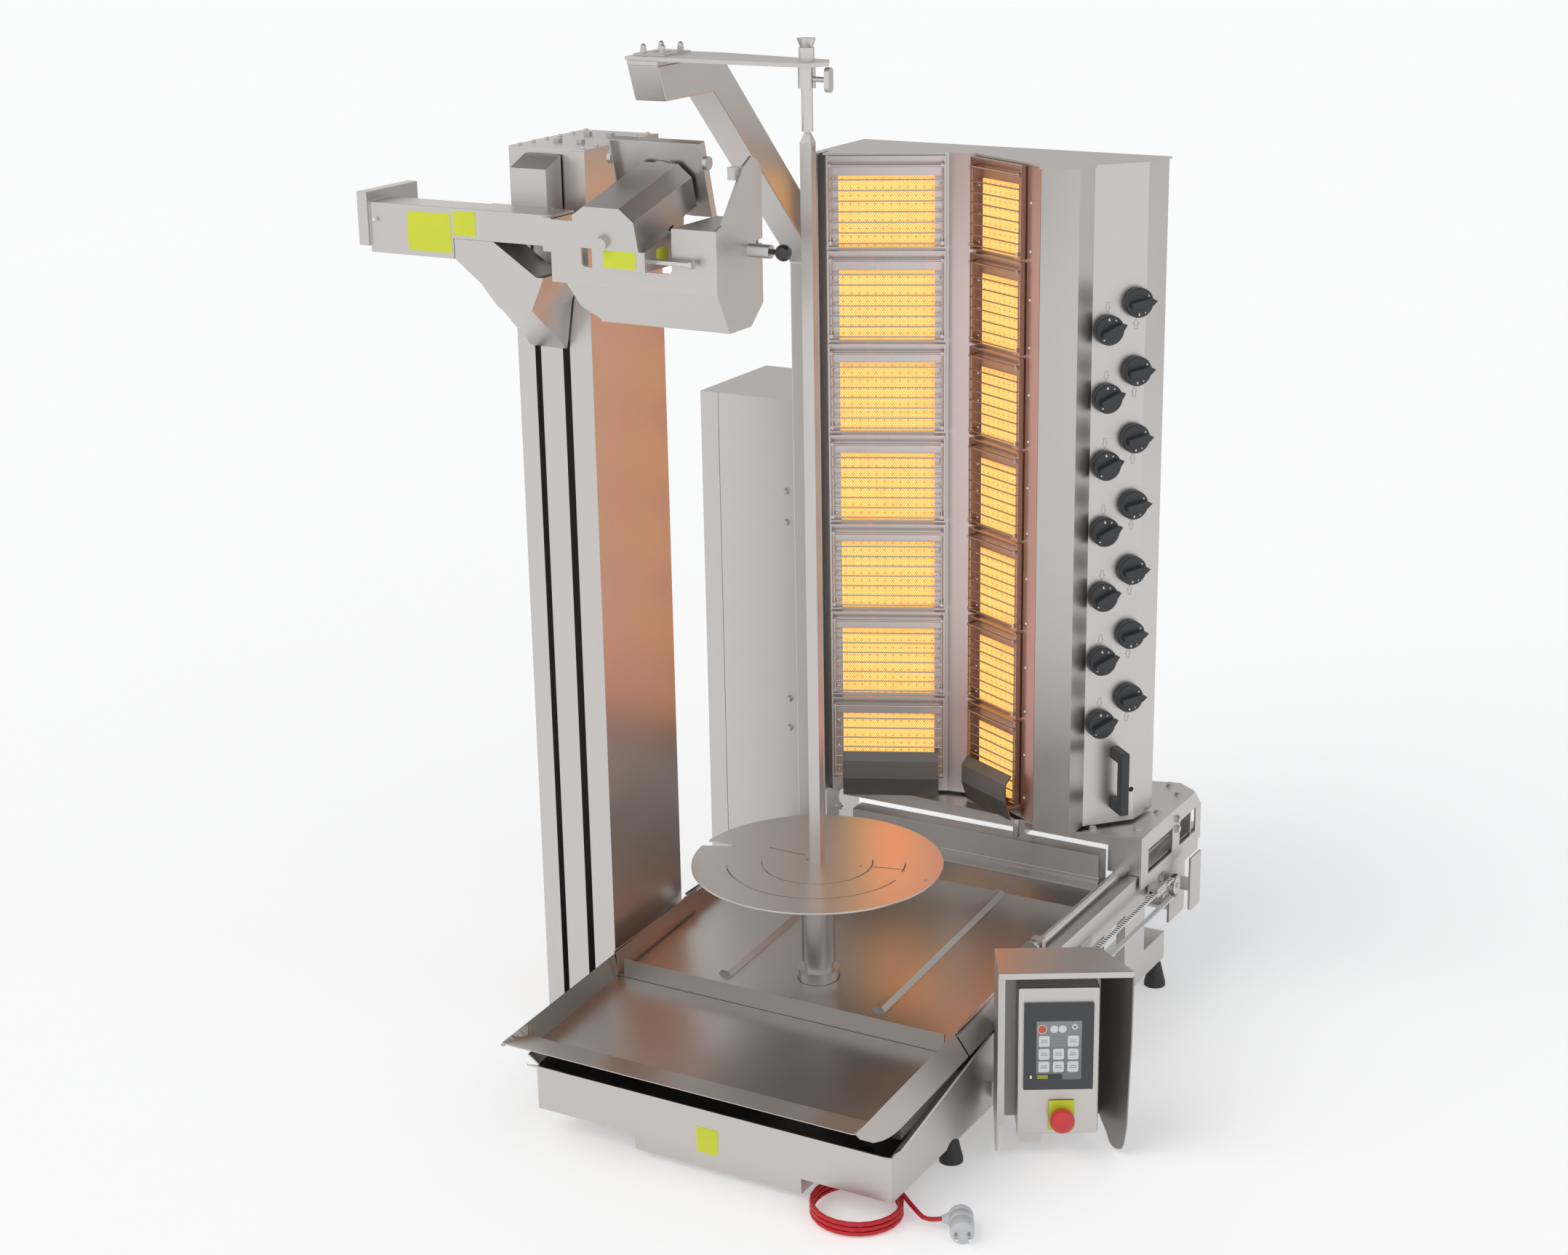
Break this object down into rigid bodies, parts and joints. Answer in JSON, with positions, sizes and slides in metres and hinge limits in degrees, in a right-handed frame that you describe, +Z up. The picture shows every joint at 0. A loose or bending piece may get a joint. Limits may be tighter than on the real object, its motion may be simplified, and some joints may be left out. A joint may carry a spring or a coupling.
{
  "type": "doner kebab grill",
  "caption": "Standing grill with a turning spit on a drip table, a sliding V of gas burners, a lifting column with a cutter head and a pan drawer.",
  "frame": {"origin": "middle of the machine's footprint on the floor", "axes": "+Z up, the pan drawer and the cutter's motor face -Y, the control panel is on the +X side"},
  "size_m": [1.22, 1.1852, 1.6762],
  "materials": {
    "steel": "satin brushed stainless sheet",
    "turned_steel": "turned and ground steel",
    "rail_steel": "satin channel",
    "guard_steel": "heat-tinted sheet and wire",
    "cast_housing": "satin folded aluminium",
    "glowing_plaque": "matt perforated ceramic",
    "black_plastic": "fine matt",
    "black_rubber": "matt",
    "red_cord": "smooth sheath",
    "grey_plug": "fine satin moulding",
    "screen": "glossy front in a satin bezel",
    "red_button": "gloss moulding"
  },
  "bodies": {
    "base": {"base_frame": "steel", "base_feet": "black_rubber", "meat_table": "steel", "rear_frame": "steel", "bearing_collar": "steel", "turntable_motor": "rail_steel", "neck_post": "steel", "top_arm": "steel", "top_bearing": "turned_steel", "cabinet_box": "steel", "column_shell": "steel", "rail_beam": "rail_steel", "guide_rod": "turned_steel", "drive_belt": "black_rubber", "panel_bracket": "steel", "cord_gland": "black_rubber", "cord_tube": "red_cord", "cord_coil": "red_cord", "plug": "grey_plug"},
    "turntable": {"turntable_disc": "steel", "drive_tube": "steel", "spit": "turned_steel"},
    "centre_pin": {"centre_pin": "turned_steel"},
    "lock_lever": {"lock_lever": "turned_steel"},
    "meat_pan": {"meat_pan": "steel"},
    "cabinet_door": {"cabinet_door": "steel"},
    "burners": {"burner_carriage": "steel", "burner_housing": "steel", "left_burner_frames": "guard_steel", "right_burner_frames": "guard_steel", "burner_plaques": "glowing_plaque", "housing_handle": "black_plastic"},
    "lift": {"lift_carriage": "steel", "arm_beam": "steel"},
    "lift_screw": {"lift_screw": "turned_steel"},
    "carrier": {"head_carrier": "steel"},
    "index_plunger": {"index_plunger": "black_plastic"},
    "head": {"head_housing": "cast_housing", "blade_guard": "steel"},
    "blade": {"blade": "turned_steel"},
    "sharpener_rod": {"sharpener_rod": "turned_steel"},
    "pulley_front": {"pulley_front": "turned_steel"},
    "pulley_rear": {"pulley_rear": "turned_steel"},
    "panel": {"panel_box": "steel", "touch_screen": "screen"},
    "e_stop": {"e_stop": "red_button"},
    "gas_knob_1": {"gas_knob_1": "black_plastic"},
    "gas_knob_2": {"gas_knob_2": "black_plastic"},
    "gas_knob_3": {"gas_knob_3": "black_plastic"},
    "gas_knob_4": {"gas_knob_4": "black_plastic"},
    "gas_knob_5": {"gas_knob_5": "black_plastic"},
    "gas_knob_6": {"gas_knob_6": "black_plastic"},
    "gas_knob_7": {"gas_knob_7": "black_plastic"},
    "gas_knob_8": {"gas_knob_8": "black_plastic"},
    "gas_knob_9": {"gas_knob_9": "black_plastic"},
    "gas_knob_10": {"gas_knob_10": "black_plastic"},
    "gas_knob_11": {"gas_knob_11": "black_plastic"},
    "gas_knob_12": {"gas_knob_12": "black_plastic"},
    "gas_knob_13": {"gas_knob_13": "black_plastic"},
    "gas_knob_14": {"gas_knob_14": "black_plastic"}
  },
  "joints": [
    {"name": "turntable_spin", "type": "hinge", "parent": "base", "child": "turntable", "pos_m": [0.06902, -0.14742, 0.395], "axis": [0, 0, 1], "continuous": true},
    {"name": "centre_pin_lift", "type": "slide", "parent": "base", "child": "centre_pin", "axis": [0, 0, 1], "range_m": [0, 0.06]},
    {"name": "lock_lever_turn", "type": "hinge", "parent": "base", "child": "lock_lever", "pos_m": [0.10102, -0.14742, 1.618], "axis": [1, 0, 0], "range_deg": [-90, 90]},
    {"name": "meat_pan_slide", "type": "slide", "parent": "base", "child": "meat_pan", "axis": [0, -0.9977, -0.068], "range_m": [0, 0.26]},
    {"name": "cabinet_door_hinge", "type": "hinge", "parent": "base", "child": "cabinet_door", "pos_m": [-0.37098, 0.53058, 0.6], "axis": [0, 0, 1], "range_deg": [-110, 0]},
    {"name": "burner_slide", "type": "slide", "parent": "base", "child": "burners", "axis": [0, -1, 0], "range_m": [0, 0.15]},
    {"name": "pulley_front_turn", "type": "hinge", "parent": "base", "child": "pulley_front", "pos_m": [0.44402, 0.09258, 0.205], "axis": [1, 0, 0], "range_deg": [0, 520]},
    {"name": "pulley_rear_turn", "type": "hinge", "parent": "base", "child": "pulley_rear", "pos_m": [0.44402, 0.44258, 0.205], "axis": [1, 0, 0], "range_deg": [0, 520]},
    {"name": "lift_slide", "type": "slide", "parent": "base", "child": "lift", "axis": [0, 0, 1], "range_m": [-0.85, 0]},
    {"name": "lift_screw_turn", "type": "hinge", "parent": "base", "child": "lift_screw", "pos_m": [-0.34098, -0.11742, 0.7], "axis": [0, 0, 1], "range_deg": [0, 8200]},
    {"name": "carrier_slide", "type": "slide", "parent": "lift", "child": "carrier", "axis": [1, 0, 0], "range_m": [0, 0.15]},
    {"name": "index_plunger_pull", "type": "slide", "parent": "carrier", "child": "index_plunger", "axis": [1, 0, 0], "range_m": [0, 0.008], "stiffness_N_per_m": 400, "springref_m": -0.004},
    {"name": "head_tilt", "type": "hinge", "parent": "carrier", "child": "head", "pos_m": [-0.07098, -0.27542, 1.4], "axis": [1, 0, 0], "range_deg": [-15, 0]},
    {"name": "blade_spin", "type": "hinge", "parent": "head", "child": "blade", "pos_m": [-0.12798, -0.2228, 1.47384], "axis": [0, 0.9659, 0.2588], "continuous": true},
    {"name": "sharpener_pull", "type": "slide", "parent": "head", "child": "sharpener_rod", "axis": [1, 0, 0], "range_m": [0, 0.012], "stiffness_N_per_m": 300, "springref_m": -0.004},
    {"name": "panel_swivel", "type": "hinge", "parent": "base", "child": "panel", "pos_m": [0.45872, -0.10148, 0.16], "axis": [0, 0, 1], "range_deg": [0, 40]},
    {"name": "e_stop_press", "type": "slide", "parent": "panel", "child": "e_stop", "axis": [-0.5, 0.866, 0], "range_m": [0, 0.005], "stiffness_N_per_m": 800},
    {"name": "gas_knob_1_turn", "type": "hinge", "parent": "burners", "child": "gas_knob_1", "pos_m": [0.34477, 0.32776, 1.188], "axis": [0.7407, -0.6718, 0], "range_deg": [0, 180]},
    {"name": "gas_knob_2_turn", "type": "hinge", "parent": "burners", "child": "gas_knob_2", "pos_m": [0.34477, 0.32776, 1.077], "axis": [0.7407, -0.6718, 0], "range_deg": [0, 180]},
    {"name": "gas_knob_3_turn", "type": "hinge", "parent": "burners", "child": "gas_knob_3", "pos_m": [0.34477, 0.32776, 0.966], "axis": [0.7407, -0.6718, 0], "range_deg": [0, 180]},
    {"name": "gas_knob_4_turn", "type": "hinge", "parent": "burners", "child": "gas_knob_4", "pos_m": [0.34477, 0.32776, 0.855], "axis": [0.7407, -0.6718, 0], "range_deg": [0, 180]},
    {"name": "gas_knob_5_turn", "type": "hinge", "parent": "burners", "child": "gas_knob_5", "pos_m": [0.34477, 0.32776, 0.744], "axis": [0.7407, -0.6718, 0], "range_deg": [0, 180]},
    {"name": "gas_knob_6_turn", "type": "hinge", "parent": "burners", "child": "gas_knob_6", "pos_m": [0.34477, 0.32776, 0.633], "axis": [0.7407, -0.6718, 0], "range_deg": [0, 180]},
    {"name": "gas_knob_7_turn", "type": "hinge", "parent": "burners", "child": "gas_knob_7", "pos_m": [0.34477, 0.32776, 0.522], "axis": [0.7407, -0.6718, 0], "range_deg": [0, 180]},
    {"name": "gas_knob_8_turn", "type": "hinge", "parent": "burners", "child": "gas_knob_8", "pos_m": [0.37836, 0.3648, 1.229], "axis": [0.7407, -0.6718, 0], "range_deg": [0, 180]},
    {"name": "gas_knob_9_turn", "type": "hinge", "parent": "burners", "child": "gas_knob_9", "pos_m": [0.37836, 0.3648, 1.118], "axis": [0.7407, -0.6718, 0], "range_deg": [0, 180]},
    {"name": "gas_knob_10_turn", "type": "hinge", "parent": "burners", "child": "gas_knob_10", "pos_m": [0.37836, 0.3648, 1.007], "axis": [0.7407, -0.6718, 0], "range_deg": [0, 180]},
    {"name": "gas_knob_11_turn", "type": "hinge", "parent": "burners", "child": "gas_knob_11", "pos_m": [0.37836, 0.3648, 0.896], "axis": [0.7407, -0.6718, 0], "range_deg": [0, 180]},
    {"name": "gas_knob_12_turn", "type": "hinge", "parent": "burners", "child": "gas_knob_12", "pos_m": [0.37836, 0.3648, 0.785], "axis": [0.7407, -0.6718, 0], "range_deg": [0, 180]},
    {"name": "gas_knob_13_turn", "type": "hinge", "parent": "burners", "child": "gas_knob_13", "pos_m": [0.37836, 0.3648, 0.674], "axis": [0.7407, -0.6718, 0], "range_deg": [0, 180]},
    {"name": "gas_knob_14_turn", "type": "hinge", "parent": "burners", "child": "gas_knob_14", "pos_m": [0.37836, 0.3648, 0.563], "axis": [0.7407, -0.6718, 0], "range_deg": [0, 180]}
  ],
  "couplings": [
    {"joint": "pulley_front_turn", "follows": "burner_slide", "rad_per_m": 56.2},
    {"joint": "pulley_rear_turn", "follows": "burner_slide", "rad_per_m": 56.2},
    {"joint": "lift_screw_turn", "follows": "lift_slide", "rad_per_m": -157.08}
  ]
}
